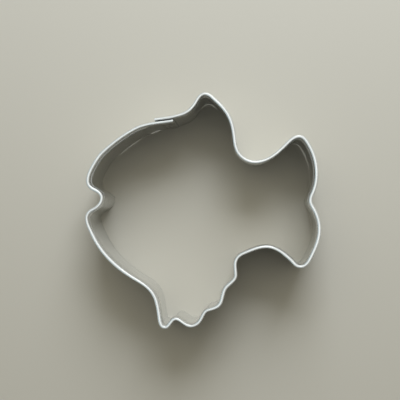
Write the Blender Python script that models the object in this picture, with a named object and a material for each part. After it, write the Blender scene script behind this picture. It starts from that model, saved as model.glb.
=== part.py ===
"""Fish-shaped cookie cutter.

One strip of thin sheet metal stands on edge and is bent to the outline of a fish that faces -X.
Its lower edge is the bare cutting edge, on Z = 0. Its upper edge is folded inwards into a round hem.
The two ends of the strip lap on the fish's back and are held by a column of spot welds.
The origin is under the middle of the outline, on the cutting edge. Lengths are in metres.
"""

import math
from collections import namedtuple

import bmesh
import bpy

# Driving dimensions of the whole cutter
FISH_LENGTH = 0.0753
FISH_HEIGHT = 0.0755
WALL_HEIGHT = 0.0200
MOUTH_DEPTH = 0.0049
TAIL_FORK_DEPTH = 0.00275

# The sheet and its folded rim
SHEET = 0.0003
HEM_WIDTH = 0.0009
HEM_DEPTH = 0.0023

# The lap of the strip's two ends
LAP_LENGTH = 0.0059
LAP_EASE = 0.0065
LAP_STEP = 0.0015
LAP_RIM_GAP = 0.0003
LAP_WALL_GAP = 0.0001

# The spot welds in the lap
WELD_DIAMETER = 0.0022
WELD_CLEARANCE = 0.0003
WELD_DISH = 0.00004
WELD_EDGE_ROUND = 0.00006
LOWEST_WELD_ABOVE_EDGE = 0.0036
HIGHEST_WELD_BELOW_STEP = 0.0021
WELD_NAMES = ("spot_weld_lower", "spot_weld_middle", "spot_weld_upper")

# How finely the curves are faceted
MAX_TURN = math.radians(14)
MAX_STEP = 0.0032
EASE_STEPS = 6
HEM_STEPS = 6
STEP_ROWS = 3
WELD_SIDES = 32
SAMPLES_PER_CURVE = 48
CLOSEST_STATIONS = 0.0001
SHARP_EDGE = math.radians(40)

# Finish of the tinned sheet and of the welds
SHEET_COLOR = (0.60, 0.61, 0.61, 1.0)
SHEET_ROUGHNESS = 0.28
WELD_COLOR = (0.42, 0.41, 0.40, 1.0)
WELD_ROUGHNESS = 0.45

# A knot of the drawn outline: its place in millimetres and the heading of the rim there, in degrees.
# Its x is None where a driving dimension sets how deep the knot lies.
Knot = namedtuple("Knot", "name x y heading")

# The rim's middle line, anticlockwise from the seam on the back, drawn at real size
BACK_AND_HEAD = (
    Knot("seam", -12.2, 28.97, 187.5),
    Knot("nape", -17.1, 28.15, 199),
    Knot("brow", -25.0, 24.25, 213),
    Knot("forehead", -31.9, 18.9, 222),
    Knot("temple", -35.2, 14.4, 240),
    Knot("snout", -36.9, 9.5, 270),
    Knot("upper_lip", -34.9, 6.75, 335),
    Knot("mouth", None, 4.0, 270),
    Knot("lower_lip", -35.2, 0.25, 205),
    Knot("chin", -37.2, -2.5, 270),
    Knot("jaw", -35.5, -7.4, 295),
    Knot("throat", -30.3, -15.1, 313),
)
BELLY_AND_FINS = (
    Knot("belly", -21.0, -22.25, 330),
    Knot("fin_root", -15.5, -26.8, 302),
    Knot("fin_front", -13.65, -33.2, 279),
    Knot("fin_tip", -11.6, -37.3, 0),
    Knot("fin_rise", -10.1, -36.1, 52),
    Knot("first_cusp", -8.2, -34.6, 0),
    Knot("first_lobe_front", -6.0, -35.65, 326),
    Knot("first_lobe", -3.4, -36.8, 0),
    Knot("first_lobe_back", 0.0, -34.3, 64),
    Knot("second_cusp", 2.1, -31.7, 18),
    Knot("second_lobe", 5.7, -29.95, 52),
    Knot("second_lobe_back", 6.8, -26.9, 75),
    Knot("third_cusp", 7.9, -24.4, 48),
    Knot("third_lobe", 10.9, -20.4, 92),
    Knot("third_lobe_back", 10.7, -17.6, 92),
)
TAIL = (
    Knot("tail_root", 11.9, -14.6, 42),
    Knot("tail_root_back", 15.0, -13.0, 23),
    Knot("tail_waist_below", 20.6, -11.55, 0),
    Knot("lower_fluke_front", 28.0, -15.45, 318),
    Knot("lower_fluke_tip", 31.25, -17.8, 0),
    Knot("lower_fluke_edge", 34.9, -14.0, 64),
    Knot("lower_fluke", 37.2, -6.0, 90),
    Knot("fork_below", 35.4, 0.5, 120),
    Knot("fork", None, 3.0, 90),
    Knot("fork_above", 35.2, 5.5, 66),
    Knot("upper_fluke", 36.4, 11.5, 90),
    Knot("upper_fluke_edge", 34.3, 20.1, 119),
    Knot("upper_fluke_tip", 31.0, 23.3, 180),
    Knot("upper_fluke_front", 27.0, 20.9, 225),
)
DORSAL_FIN = (
    Knot("tail_waist_above", 20.8, 16.1, 204),
    Knot("dorsal_notch", 16.6, 15.3, 175),
    Knot("dorsal_notch_front", 11.9, 18.1, 126),
    Knot("dorsal_back", 10.5, 23.0, 96),
    Knot("dorsal_bend", 8.3, 30.8, 121),
    Knot("dorsal_slope", 4.3, 35.35, 138),
    Knot("dorsal_tip", 1.1, 37.3, 180),
    Knot("dorsal_front", -1.8, 34.7, 240),
    Knot("dorsal_root", -4.9, 31.3, 215),
    Knot("back", -8.2, 29.7, 199),
)
OUTLINE = BACK_AND_HEAD + BELLY_AND_FINS + TAIL + DORSAL_FIN

# A point of the rim's middle line: its distance from the seam, its place and its heading in radians
Station = namedtuple("Station", "distance x y heading")

# A row of the strip's cross section: how far outwards of the rim's middle line, its height,
# the direction across the sheet there, and how far a lapped end steps aside
Row = namedtuple("Row", "out height normal_out normal_up aside")

# Sizes that follow from the driving dimensions
BEND_RADIUS = (HEM_WIDTH - SHEET) / 2
HEM_AXIS_HEIGHT = WALL_HEIGHT - HEM_WIDTH / 2
FLAP_EDGE_HEIGHT = WALL_HEIGHT - HEM_DEPTH
STEP_FOOT_HEIGHT = FLAP_EDGE_HEIGHT - LAP_STEP
RIM_ASIDE = (HEM_WIDTH + LAP_RIM_GAP) / 2
WALL_ASIDE = (SHEET + LAP_WALL_GAP) / 2


def smooth(share):
    """Eases from 0 to 1 with level ends."""
    share = min(max(share, 0.0), 1.0)
    return share * share * (3 - 2 * share)


def turned(angle):
    """Brings an angle into the half turn either side of zero."""
    return (angle + math.pi) % (2 * math.pi) - math.pi


def fitted_outline():
    """The knots in metres, fitted to the cutter's length and height over the rim."""
    drawn_x = [knot.x for knot in OUTLINE if knot.x is not None]
    left = min(drawn_x)
    right = max(drawn_x)
    bottom = min(knot.y for knot in OUTLINE)
    top = max(knot.y for knot in OUTLINE)
    half_length = (FISH_LENGTH - HEM_WIDTH) / 2
    half_height = (FISH_HEIGHT - HEM_WIDTH) / 2
    deep_knots = {
        "mouth": -half_length + MOUTH_DEPTH,
        "fork": half_length - TAIL_FORK_DEPTH,
    }
    knots = []
    for knot in OUTLINE:
        if knot.x is None:
            x = deep_knots[knot.name]
        else:
            x = half_length * (2 * (knot.x - left) / (right - left) - 1)
        y = half_height * (2 * (knot.y - bottom) / (top - bottom) - 1)
        knots.append(Knot(knot.name, x, y, math.radians(knot.heading)))
    return knots


def handle_share(leaving, arriving):
    """Length of a curve's handle as a share of its chord, for a round curve between two headings."""
    waviness = (
        math.sqrt(2)
        * (math.sin(leaving) - math.sin(arriving) / 16)
        * (math.sin(arriving) - math.sin(leaving) / 16)
        * (math.cos(leaving) - math.cos(arriving))
    )
    fullness = 1 + (math.sqrt(5) - 1) / 2 * math.cos(leaving) + (3 - math.sqrt(5)) / 2 * math.cos(arriving)
    return (2 + waviness) / (3 * fullness)


def curve_handles(start, end):
    """The four control points of the curve from one knot to the next."""
    chord = math.hypot(end.x - start.x, end.y - start.y)
    direction = math.atan2(end.y - start.y, end.x - start.x)
    leaving = turned(start.heading - direction)
    arriving = turned(direction - end.heading)
    first = handle_share(leaving, arriving) * chord
    last = handle_share(arriving, leaving) * chord
    return (
        (start.x, start.y),
        (start.x + first * math.cos(start.heading), start.y + first * math.sin(start.heading)),
        (end.x - last * math.cos(end.heading), end.y - last * math.sin(end.heading)),
        (end.x, end.y),
    )


def curve_point(handles, share):
    """The place and heading at a share of a curve's way."""
    rest = 1 - share
    place_weights = (rest**3, 3 * rest**2 * share, 3 * rest * share**2, share**3)
    slope_weights = (-(rest**2), rest**2 - 2 * rest * share, 2 * rest * share - share**2, share**2)
    x = sum(weight * handle[0] for weight, handle in zip(place_weights, handles))
    y = sum(weight * handle[1] for weight, handle in zip(place_weights, handles))
    slope_x = sum(weight * handle[0] for weight, handle in zip(slope_weights, handles))
    slope_y = sum(weight * handle[1] for weight, handle in zip(slope_weights, handles))
    return x, y, math.atan2(slope_y, slope_x)


def sampled_outline():
    """Closely spaced stations once round the fish, from the seam and back to it."""
    knots = fitted_outline()
    samples = []
    distance = 0.0
    for start, end in zip(knots, knots[1:] + knots[:1]):
        handles = curve_handles(start, end)
        for step in range(SAMPLES_PER_CURVE):
            x, y, heading = curve_point(handles, step / SAMPLES_PER_CURVE)
            if samples:
                distance += math.hypot(x - samples[-1].x, y - samples[-1].y)
            samples.append(Station(distance, x, y, heading))
    distance += math.hypot(samples[0].x - samples[-1].x, samples[0].y - samples[-1].y)
    samples.append(Station(distance, samples[0].x, samples[0].y, samples[0].heading))
    return samples


def station_at(samples, distance):
    """The station at any distance from the seam, also before it or past a whole round."""
    around = samples[-1].distance
    wrapped = distance % around
    low = 0
    high = len(samples) - 1
    while high - low > 1:
        middle = (low + high) // 2
        if samples[middle].distance <= wrapped:
            low = middle
        else:
            high = middle
    before, after = samples[low], samples[high]
    share = (wrapped - before.distance) / (after.distance - before.distance)
    return Station(
        distance,
        before.x + share * (after.x - before.x),
        before.y + share * (after.y - before.y),
        before.heading + share * turned(after.heading - before.heading),
    )


def even_distances(samples):
    """Distances from the seam that divide each curve into steps of limited length and turning."""
    distances = []
    for first in range(0, len(samples) - 1, SAMPLES_PER_CURVE):
        curve = samples[first : first + SAMPLES_PER_CURVE + 1]
        effort = [0.0]
        for before, after in zip(curve, curve[1:]):
            turn = abs(turned(after.heading - before.heading))
            step = after.distance - before.distance
            effort.append(effort[-1] + max(turn / MAX_TURN, step / MAX_STEP))
        pieces = math.ceil(effort[-1])
        for piece in range(pieces):
            wanted = effort[-1] * piece / pieces
            nearest = min(range(len(curve)), key=lambda index: abs(effort[index] - wanted))
            distances.append(curve[nearest].distance)
    return distances


def strip_stations(samples):
    """Stations from the strip's inner end, round the fish, to its outer end."""
    around = samples[-1].distance
    half_lap = LAP_LENGTH / 2
    wanted = [distance for distance in even_distances(samples) if distance > half_lap + LAP_EASE]
    wanted = [distance for distance in wanted if distance < around - half_lap - LAP_EASE]
    for step in range(EASE_STEPS + 1):
        wanted.append(half_lap + LAP_EASE * step / EASE_STEPS)
        wanted.append(around - half_lap - LAP_EASE * step / EASE_STEPS)
    for middle in (0.0, around):
        wanted.extend((middle - half_lap, middle, middle + half_lap))
    stations = []
    for distance in sorted(wanted):
        if not stations or distance - stations[-1].distance > CLOSEST_STATIONS:
            stations.append(station_at(samples, distance))
    return stations


def section_rows():
    """Rows of the strip's cross section, from the cutting edge, up over the hem, to the folded edge."""
    rows = [Row(BEND_RADIUS, 0.0, 1.0, 0.0, WALL_ASIDE)]
    for step in range(STEP_ROWS + 1):
        share = step / STEP_ROWS
        height = STEP_FOOT_HEIGHT + share * LAP_STEP
        aside = WALL_ASIDE + smooth(share) * (RIM_ASIDE - WALL_ASIDE)
        rows.append(Row(BEND_RADIUS, height, 1.0, 0.0, aside))
    for step in range(HEM_STEPS + 1):
        angle = math.pi * step / HEM_STEPS
        across, up = math.cos(angle), math.sin(angle)
        rows.append(Row(BEND_RADIUS * across, HEM_AXIS_HEIGHT + BEND_RADIUS * up, across, up, RIM_ASIDE))
    rows.append(Row(-BEND_RADIUS, FLAP_EDGE_HEIGHT, -1.0, 0.0, RIM_ASIDE))
    return rows


def lap_side(distance, around):
    """Which way the strip steps aside: -1 inside the lap, +1 outside it, 0 away from it."""
    half_lap = LAP_LENGTH / 2
    inner = 1 - smooth((distance - half_lap) / LAP_EASE)
    outer = 1 - smooth((around - half_lap - distance) / LAP_EASE)
    return outer - inner


def section_points(station, rows, around):
    """The outer and the inner face's points of the strip at one station."""
    across_x, across_y = math.sin(station.heading), -math.cos(station.heading)
    side = lap_side(station.distance, around)
    faces = []
    for half in (SHEET / 2, -SHEET / 2):
        face = []
        for row in rows:
            out = row.out + half * row.normal_out + side * row.aside
            height = row.height + half * row.normal_up
            face.append((station.x + out * across_x, station.y + out * across_y, height))
        faces.append(face)
    return faces


def build_band(samples):
    """The bent strip as one closed sheet-metal solid, with no holes for the welds yet."""
    rows = section_rows()
    around = samples[-1].distance
    mesh = bmesh.new()
    outer_grid = []
    inner_grid = []
    for station in strip_stations(samples):
        outer, inner = section_points(station, rows, around)
        outer_grid.append([mesh.verts.new(point) for point in outer])
        inner_grid.append([mesh.verts.new(point) for point in inner])
    for here in range(len(outer_grid) - 1):
        there = here + 1
        for row in range(len(rows) - 1):
            over = row + 1
            outer_face = (outer_grid[here][row], outer_grid[there][row])
            mesh.faces.new(outer_face + (outer_grid[there][over], outer_grid[here][over]))
            inner_face = (inner_grid[here][row], inner_grid[here][over])
            mesh.faces.new(inner_face + (inner_grid[there][over], inner_grid[there][row]))
        for row, turn in ((0, 1), (-1, -1)):
            edge = (outer_grid[here][row], inner_grid[here][row], inner_grid[there][row], outer_grid[there][row])
            mesh.faces.new(edge[::turn])
    for column, turn in ((0, 1), (-1, -1)):
        for row in range(len(rows) - 1):
            outer, inner = outer_grid[column], inner_grid[column]
            end = (outer[row], outer[row + 1], inner[row + 1], inner[row])
            mesh.faces.new(end[::turn])
    return finished_object("band", mesh, sheet_material())


def weld_heights():
    """Heights of the welds' middles, evenly spaced in the flat part of the lap."""
    lowest = LOWEST_WELD_ABOVE_EDGE
    highest = STEP_FOOT_HEIGHT - HIGHEST_WELD_BELOW_STEP
    gaps = len(WELD_NAMES) - 1
    return [lowest + (highest - lowest) * index / gaps for index in range(len(WELD_NAMES))]


def weld_place(samples, height):
    """The middle of a weld, between the lap's two sheets, and the heading of the wall there."""
    seam = samples[0]
    x = seam.x + BEND_RADIUS * math.sin(seam.heading)
    y = seam.y - BEND_RADIUS * math.cos(seam.heading)
    return (x, y, height), seam.heading


def turned_disc(profile, sides):
    """A mesh turned about Z from a profile of (radius, height) that starts and ends on the axis."""
    mesh = bmesh.new()
    rings = []
    for radius, height in profile:
        if radius == 0:
            rings.append([mesh.verts.new((0.0, 0.0, height))] * sides)
            continue
        angles = [2 * math.pi * side / sides for side in range(sides)]
        rings.append([mesh.verts.new((radius * math.cos(a), radius * math.sin(a), height)) for a in angles])
    for low, high in zip(rings, rings[1:]):
        for side in range(sides):
            other = (side + 1) % sides
            corners = dict.fromkeys((low[side], low[other], high[other], high[side]))
            mesh.faces.new(list(corners))
    return mesh


def weld_profile():
    """Half outline of a nugget: a disc as thick as the lap, with rounded rims and dished faces."""
    radius = WELD_DIAMETER / 2
    half = SHEET + LAP_WALL_GAP / 2
    upper = [
        (radius, half - WELD_EDGE_ROUND),
        (radius - WELD_EDGE_ROUND, half),
        (0.0, half - WELD_DISH),
    ]
    lower = [(across, -height) for across, height in reversed(upper)]
    return lower + upper


def lay_on_wall(target, place, heading):
    """Turns a disc from the Z axis to face out of the wall, and moves it to its place."""
    target.rotation_euler = (math.pi / 2, 0.0, heading)
    target.location = place


def build_weld(name, samples, height):
    """One spot weld's nugget through both sheets of the lap."""
    nugget = finished_object(name, turned_disc(weld_profile(), WELD_SIDES), weld_material())
    lay_on_wall(nugget, *weld_place(samples, height))
    return nugget


def cut_weld_hole(band, samples, height, name):
    """Opens both sheets of the lap round one weld, with the named clearance."""
    radius = WELD_DIAMETER / 2 + WELD_CLEARANCE
    reach = 2 * (SHEET + LAP_WALL_GAP)
    profile = [(0.0, -reach), (radius, -reach), (radius, reach), (0.0, reach)]
    cutter = finished_object("hole_for_" + name, turned_disc(profile, WELD_SIDES), None)
    lay_on_wall(cutter, *weld_place(samples, height))
    cutter.hide_render = True
    cutter.display_type = "WIRE"
    cut = band.modifiers.new("hole_for_" + name, "BOOLEAN")
    cut.operation = "DIFFERENCE"
    cut.solver = "EXACT"
    cut.object = cutter


def plain_material(name, color, roughness):
    """A bare metal finish."""
    material = bpy.data.materials.new(name)
    material.use_nodes = True
    shader = material.node_tree.nodes["Principled BSDF"]
    shader.inputs["Base Color"].default_value = color
    shader.inputs["Metallic"].default_value = 1.0
    shader.inputs["Roughness"].default_value = roughness
    return material


def sheet_material():
    """Bright tinned sheet."""
    return plain_material("bright_sheet", SHEET_COLOR, SHEET_ROUGHNESS)


def weld_material():
    """Duller metal that was melted and set again."""
    return plain_material("weld_metal", WELD_COLOR, WELD_ROUGHNESS)


def finished_object(name, mesh, material):
    """Puts a mesh into the scene under its name, smooth where it is round."""
    bmesh.ops.recalc_face_normals(mesh, faces=mesh.faces)
    data = bpy.data.meshes.new(name)
    mesh.to_mesh(data)
    mesh.free()
    data.shade_smooth()
    data.set_sharp_from_angle(angle=SHARP_EDGE)
    if material:
        data.materials.append(material)
    made = bpy.data.objects.new(name, data)
    bpy.context.collection.objects.link(made)
    return made


def clear_scene():
    """Removes whatever the new file came with."""
    for old in list(bpy.data.objects):
        bpy.data.objects.remove(old, do_unlink=True)


def main():
    """Builds the strip and its welds."""
    clear_scene()
    samples = sampled_outline()
    band = build_band(samples)
    for name, height in zip(WELD_NAMES, weld_heights()):
        build_weld(name, samples, height)
        cut_weld_hole(band, samples, height, name)


main()
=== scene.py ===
"""Looks of the fish-shaped cookie cutter.

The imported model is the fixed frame. The bent strip and its three spot welds get their fine meshes and their
metal finishes here, in that frame: metres, +Z up, the fish facing -X on a floor at Z = 0.
"""

from __future__ import annotations

import logging
import math
from dataclasses import dataclass, field, replace
from enum import Enum, IntEnum
from typing import Any, Callable, Iterable, Optional, Union

import bmesh
import bpy
import numpy as np
from mathutils import Matrix, Vector


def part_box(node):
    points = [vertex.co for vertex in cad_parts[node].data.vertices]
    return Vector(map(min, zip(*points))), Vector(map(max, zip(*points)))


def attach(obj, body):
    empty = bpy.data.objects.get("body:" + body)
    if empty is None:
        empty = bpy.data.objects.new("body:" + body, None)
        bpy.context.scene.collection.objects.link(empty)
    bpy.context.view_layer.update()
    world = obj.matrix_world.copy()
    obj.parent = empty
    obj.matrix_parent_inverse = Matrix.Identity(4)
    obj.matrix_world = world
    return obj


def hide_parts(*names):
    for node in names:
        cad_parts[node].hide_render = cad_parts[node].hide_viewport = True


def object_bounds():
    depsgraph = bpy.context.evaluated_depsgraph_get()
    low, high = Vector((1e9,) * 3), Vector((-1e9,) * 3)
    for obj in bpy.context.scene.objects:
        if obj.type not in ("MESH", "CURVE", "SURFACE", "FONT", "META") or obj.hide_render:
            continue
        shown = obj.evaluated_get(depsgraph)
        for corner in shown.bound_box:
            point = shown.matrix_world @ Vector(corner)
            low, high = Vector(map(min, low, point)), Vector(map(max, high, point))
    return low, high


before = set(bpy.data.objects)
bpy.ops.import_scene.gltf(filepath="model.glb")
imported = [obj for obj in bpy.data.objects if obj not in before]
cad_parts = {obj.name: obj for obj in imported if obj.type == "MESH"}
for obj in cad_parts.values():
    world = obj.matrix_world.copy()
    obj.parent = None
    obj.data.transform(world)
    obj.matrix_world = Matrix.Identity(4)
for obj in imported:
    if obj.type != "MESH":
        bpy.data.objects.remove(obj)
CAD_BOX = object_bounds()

log = logging.getLogger("cookie_cutter")

MM = 0.001
BODY = "root"
STRIP_MAP = "strip"

Color = tuple[float, float, float, float]
Place = tuple[float, float, float]
Range = tuple[float, float]
Stops = tuple[tuple[float, Color], ...]


class Slot(Enum):
    """The record's material slots."""

    SHEET = "sheet"
    WELD = "weld"


class LapSide(IntEnum):
    """Which way an end of the strip steps aside in the lap."""

    INSIDE = -1
    OUTSIDE = 1


@dataclass(frozen=True)
class Knot:
    """A knot of the drawn outline: its place in millimetres and the rim's heading there in degrees.

    x is None where a driving size sets how deep the knot lies.
    """

    name: str
    x: Optional[float]
    y: float
    heading: float


# How much a curve's turn at one end tells on its handle at the other
CROSSTALK = 1 / 16

# The rim's middle line, anticlockwise from the seam on the back, drawn at real size
OUTLINE = (
    Knot("seam", -12.2, 28.97, 187.5),
    Knot("nape", -17.1, 28.15, 199),
    Knot("brow", -25.0, 24.25, 213),
    Knot("forehead", -31.9, 18.9, 222),
    Knot("temple", -35.2, 14.4, 240),
    Knot("snout", -36.9, 9.5, 270),
    Knot("upper_lip", -34.9, 6.75, 335),
    Knot("mouth", None, 4.0, 270),
    Knot("lower_lip", -35.2, 0.25, 205),
    Knot("chin", -37.2, -2.5, 270),
    Knot("jaw", -35.5, -7.4, 295),
    Knot("throat", -30.3, -15.1, 313),
    Knot("belly", -21.0, -22.25, 330),
    Knot("fin_root", -15.5, -26.8, 302),
    Knot("fin_front", -13.65, -33.2, 279),
    Knot("fin_tip", -11.6, -37.3, 0),
    Knot("fin_rise", -10.1, -36.1, 52),
    Knot("first_cusp", -8.2, -34.6, 0),
    Knot("first_lobe_front", -6.0, -35.65, 326),
    Knot("first_lobe", -3.4, -36.8, 0),
    Knot("first_lobe_back", 0.0, -34.3, 64),
    Knot("second_cusp", 2.1, -31.7, 18),
    Knot("second_lobe", 5.7, -29.95, 52),
    Knot("second_lobe_back", 6.8, -26.9, 75),
    Knot("third_cusp", 7.9, -24.4, 48),
    Knot("third_lobe", 10.9, -20.4, 92),
    Knot("third_lobe_back", 10.7, -17.6, 92),
    Knot("tail_root", 11.9, -14.6, 42),
    Knot("tail_root_back", 15.0, -13.0, 23),
    Knot("tail_waist_below", 20.6, -11.55, 0),
    Knot("lower_fluke_front", 28.0, -15.45, 318),
    Knot("lower_fluke_tip", 31.25, -17.8, 0),
    Knot("lower_fluke_edge", 34.9, -14.0, 64),
    Knot("lower_fluke", 37.2, -6.0, 90),
    Knot("fork_below", 35.4, 0.5, 120),
    Knot("fork", None, 3.0, 90),
    Knot("fork_above", 35.2, 5.5, 66),
    Knot("upper_fluke", 36.4, 11.5, 90),
    Knot("upper_fluke_edge", 34.3, 20.1, 119),
    Knot("upper_fluke_tip", 31.0, 23.3, 180),
    Knot("upper_fluke_front", 27.0, 20.9, 225),
    Knot("tail_waist_above", 20.8, 16.1, 204),
    Knot("dorsal_notch", 16.6, 15.3, 175),
    Knot("dorsal_notch_front", 11.9, 18.1, 126),
    Knot("dorsal_back", 10.5, 23.0, 96),
    Knot("dorsal_bend", 8.3, 30.8, 121),
    Knot("dorsal_slope", 4.3, 35.35, 138),
    Knot("dorsal_tip", 1.1, 37.3, 180),
    Knot("dorsal_front", -1.8, 34.7, 240),
    Knot("dorsal_root", -4.9, 31.3, 215),
    Knot("back", -8.2, 29.7, 199),
)


def eased(share: np.ndarray) -> np.ndarray:
    """Eases from 0 to 1 with level ends."""
    share = np.clip(share, 0.0, 1.0)
    return share * share * (3 - 2 * share)


def turned(angle: float) -> float:
    """Brings an angle into the half turn either side of zero."""
    return (angle + math.pi) % (2 * math.pi) - math.pi


@dataclass(frozen=True)
class Route:
    """Points along the rim's middle line, from the seam once round and back to it.

    distance is measured from the seam, and heading is in radians without jumps.
    """

    distance: np.ndarray
    x: np.ndarray
    y: np.ndarray
    heading: np.ndarray

    @property
    def around(self) -> float:
        """Length of the whole way round."""
        return float(self.distance[-1])

    def at(self, distance: np.ndarray) -> Route:
        """The route's points at given distances, also before the seam or past a whole round.

        Args:
            distance: distances from the seam, in metres.

        Returns:
            A route with one point for each distance.
        """
        wrapped = np.mod(distance, self.around)
        return Route(
            distance,
            np.interp(wrapped, self.distance, self.x),
            np.interp(wrapped, self.distance, self.y),
            np.interp(wrapped, self.distance, self.heading),
        )

    def bend(self, distance: np.ndarray) -> np.ndarray:
        """How sharply the rim turns at given distances, in radians per metre, positive on its bulges."""
        curvature = np.gradient(self.heading, self.distance)
        return np.interp(np.mod(distance, self.around), self.distance, curvature)


@dataclass(frozen=True)
class FishOutline:
    """The fish's outline, fitted to the cutter's length and height over the rim."""

    length: float = 75.3 * MM
    height: float = 75.5 * MM
    rim_width: float = 0.9 * MM
    mouth_depth: float = 4.9 * MM
    fork_depth: float = 2.75 * MM
    samples_per_curve: int = 160

    def fitted_knots(self) -> list[tuple[float, float, float]]:
        """Fits the drawn outline to the fish's length and height.

        Returns:
            Each knot's place in metres and heading in radians.
        """
        drawn_x = [knot.x for knot in OUTLINE if knot.x is not None]
        left, right = min(drawn_x), max(drawn_x)
        bottom, top = min(knot.y for knot in OUTLINE), max(knot.y for knot in OUTLINE)
        half_length = (self.length - self.rim_width) / 2
        half_height = (self.height - self.rim_width) / 2
        deep_knots = {"mouth": self.mouth_depth - half_length, "fork": half_length - self.fork_depth}
        knots = []
        for knot in OUTLINE:
            if knot.x is None:
                x = deep_knots[knot.name]
            else:
                x = half_length * (2 * (knot.x - left) / (right - left) - 1)
            y = half_height * (2 * (knot.y - bottom) / (top - bottom) - 1)
            knots.append((x, y, math.radians(knot.heading)))
        return knots

    @staticmethod
    def handle_share(leaving: float, arriving: float) -> float:
        """Length of a curve's handle as a share of its chord, for a round curve.

        Args:
            leaving: the heading at this end less the chord's direction, in radians.
            arriving: the chord's direction less the heading at the other end, in radians.

        Returns:
            The handle's length over the chord's.
        """
        waviness = (
            math.sqrt(2)
            * (math.sin(leaving) - CROSSTALK * math.sin(arriving))
            * (math.sin(arriving) - CROSSTALK * math.sin(leaving))
            * (math.cos(leaving) - math.cos(arriving))
        )
        root = math.sqrt(5)
        fullness = 1 + (root - 1) / 2 * math.cos(leaving) + (3 - root) / 2 * math.cos(arriving)
        return (2 + waviness) / (3 * fullness)

    def curve(self, start: tuple[float, float, float], end: tuple[float, float, float]) -> np.ndarray:
        """The four control points of the curve from one knot to the next.

        Args:
            start: place and heading of the first knot.
            end: place and heading of the second knot.

        Returns:
            A 4 by 2 array of places.
        """
        chord = math.hypot(end[0] - start[0], end[1] - start[1])
        direction = math.atan2(end[1] - start[1], end[0] - start[0])
        leaving = turned(start[2] - direction)
        arriving = turned(direction - end[2])
        first = self.handle_share(leaving, arriving) * chord
        last = self.handle_share(arriving, leaving) * chord
        return np.array(
            [
                start[:2],
                (start[0] + first * math.cos(start[2]), start[1] + first * math.sin(start[2])),
                (end[0] - last * math.cos(end[2]), end[1] - last * math.sin(end[2])),
                end[:2],
            ]
        )

    def route(self) -> Route:
        """Runs smooth curves through the knots.

        Returns:
            Closely spaced points once round the fish.
        """
        knots = self.fitted_knots()
        share = np.arange(self.samples_per_curve) / self.samples_per_curve
        rest = 1 - share
        weights = np.stack([rest**3, 3 * rest**2 * share, 3 * rest * share**2, share**3], axis=1)
        slopes = np.stack(
            [-(rest**2), rest**2 - 2 * rest * share, 2 * rest * share - share**2, share**2], axis=1
        )
        curves = [self.curve(start, end) for start, end in zip(knots, knots[1:] + knots[:1])]
        places = np.concatenate([weights @ curve for curve in curves] + [curves[0][:1]])
        headings = np.concatenate([slopes @ curve for curve in curves])
        headings = np.append(np.arctan2(headings[:, 1], headings[:, 0]), knots[0][2])
        steps = np.hypot(*np.diff(places, axis=0).T)
        distance = np.concatenate([[0.0], np.cumsum(steps)])
        return Route(distance, places[:, 0], places[:, 1], np.unwrap(headings))


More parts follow.
